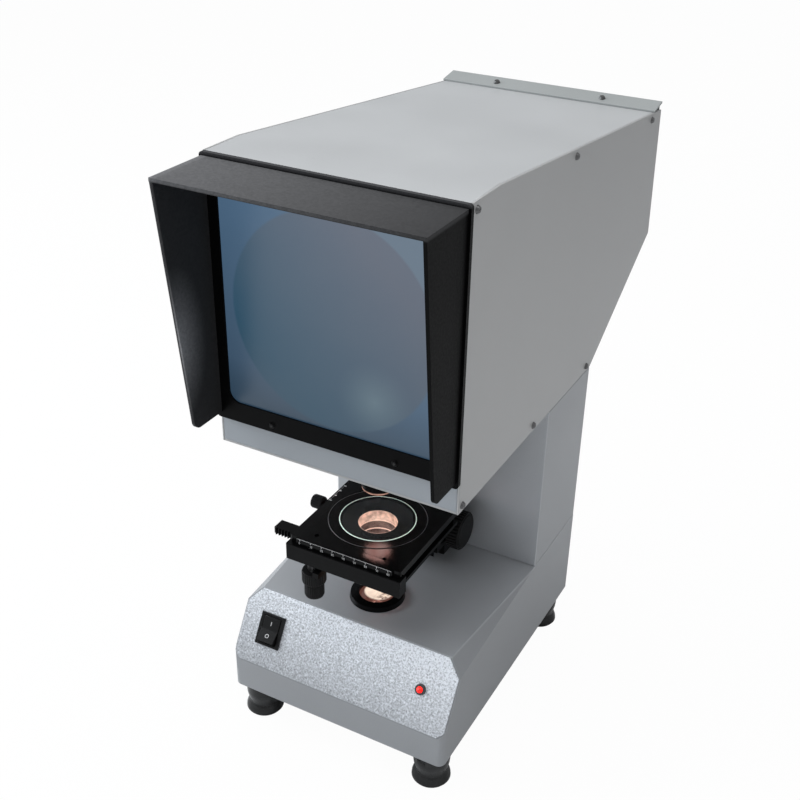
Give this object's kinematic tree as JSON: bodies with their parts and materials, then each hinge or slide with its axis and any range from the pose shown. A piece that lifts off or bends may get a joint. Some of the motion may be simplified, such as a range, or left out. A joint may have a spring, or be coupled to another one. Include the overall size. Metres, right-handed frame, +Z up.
{
  "type": "optical comparator",
  "caption": "Bench profile projector with a hooded ground glass screen, an XY and rotary glass stage on a rack lift, and a lamp house in its sloping base.",
  "frame": {"origin": "centre of the bounding box at the underside of the feet", "axes": "+Z up, -Y towards the person at the screen, +X to the right hand of a person facing the screen"},
  "size_m": [0.227, 0.494, 0.556],
  "materials": {
    "grey_paint": "satin",
    "silver_panel": "hammered",
    "black_paint": "satin",
    "black_plastic": "matte",
    "rubber": "matte",
    "steel": "brushed",
    "copper": "polished",
    "core_iron": "varnished",
    "glass": "clear",
    "ground_glass": "ground",
    "mirror": "polished",
    "red_lens": "gloss",
    "ceramic": "glazed"
  },
  "bodies": {
    "stand": {"base_shell": "grey_paint", "column_shell": "grey_paint", "bottom_plate": "steel", "foot_front_left": "rubber", "foot_front_right": "rubber", "foot_rear_left": "rubber", "foot_rear_right": "rubber", "foot_screws": "steel", "front_panel": "silver_panel", "switch_frame": "black_plastic", "led_holder": "black_plastic", "led_lens": "red_lens", "condenser_ring": "black_paint", "condenser_lens": "glass", "lamp_housing": "steel", "lamp_socket": "ceramic", "lamp_bulb": "glass", "lamp_mirror_block": "black_paint", "lamp_mirror": "mirror", "transformer_core": "core_iron", "transformer_coil": "copper", "power_inlet": "black_plastic", "lift_body": "black_paint", "head_left_panel": "grey_paint", "head_right_panel": "grey_paint", "head_top_cover": "grey_paint", "head_front_frame": "grey_paint", "head_floor": "grey_paint", "rear_cover": "grey_paint", "cover_screws": "steel", "screen_bezel": "black_plastic", "bezel_screws": "steel", "hood": "black_plastic", "screen_glass": "ground_glass", "objective_barrel": "black_paint", "objective_lens": "glass", "lens_tube": "black_paint", "projection_lens": "glass", "fold_bracket": "steel", "fold_mirror": "mirror", "rear_mirror": "mirror"},
    "rocker": {"switch_rocker": "black_plastic"},
    "lift_wheel": {"lift_shaft": "steel", "lift_handwheel": "black_plastic"},
    "lift": {"stage_carrier": "black_paint", "lift_rack": "steel", "stage_base_plate": "black_paint", "light_tube": "copper", "y_rack": "steel"},
    "cross_y": {"y_slide": "black_paint"},
    "cross_x": {"x_slide": "black_paint", "x_rack_bar": "steel", "scale_strip": "black_paint"},
    "rotary_table": {"rotary_ring": "black_paint", "stage_glass": "glass"},
    "lock_screw": {"rotary_lock": "black_plastic"},
    "y_drive": {"y_tube": "steel", "y_knob": "black_plastic"},
    "x_drive": {"x_shaft": "steel", "x_knob": "black_plastic"}
  },
  "joints": [
    {"name": "rocker_tilt", "type": "hinge", "parent": "stand", "child": "rocker", "pos_m": [-0.079, -0.17379, 0.10068], "axis": [1, 0, 0], "range_deg": [0, 24]},
    {"name": "stage_lift", "type": "slide", "parent": "stand", "child": "lift", "axis": [0, 0, 1], "range_m": [-0.006, 0.006]},
    {"name": "lift_wheel_turn", "type": "hinge", "parent": "stand", "child": "lift_wheel", "pos_m": [0, -0.027, 0.168], "axis": [1, 0, 0], "range_deg": [-72, 72]},
    {"name": "stage_y", "type": "slide", "parent": "lift", "child": "cross_y", "axis": [0, 1, 0], "range_m": [-0.005, 0.005]},
    {"name": "stage_x", "type": "slide", "parent": "cross_y", "child": "cross_x", "axis": [1, 0, 0], "range_m": [-0.005, 0.005]},
    {"name": "table_turn", "type": "hinge", "parent": "cross_x", "child": "rotary_table", "pos_m": [0, -0.1115, 0.2175], "axis": [0, 0, 1], "continuous": true},
    {"name": "lock_turn", "type": "hinge", "parent": "cross_x", "child": "lock_screw", "pos_m": [-0.055, -0.1115, 0.21425], "axis": [1, 0, 0], "range_deg": [0, 180]},
    {"name": "y_knob_turn", "type": "hinge", "parent": "cross_y", "child": "y_drive", "pos_m": [-0.034, -0.166, 0.19], "axis": [0, 0, 1], "range_deg": [-60, 60]},
    {"name": "x_knob_turn", "type": "hinge", "parent": "cross_y", "child": "x_drive", "pos_m": [-0.034, -0.166, 0.19], "axis": [0, 0, 1], "range_deg": [-60, 60]}
  ],
  "couplings": [
    {"joint": "lift_wheel_turn", "follows": "stage_lift", "rad_per_m": -200},
    {"joint": "y_knob_turn", "follows": "stage_y", "rad_per_m": -200},
    {"joint": "x_knob_turn", "follows": "stage_x", "rad_per_m": -200}
  ]
}
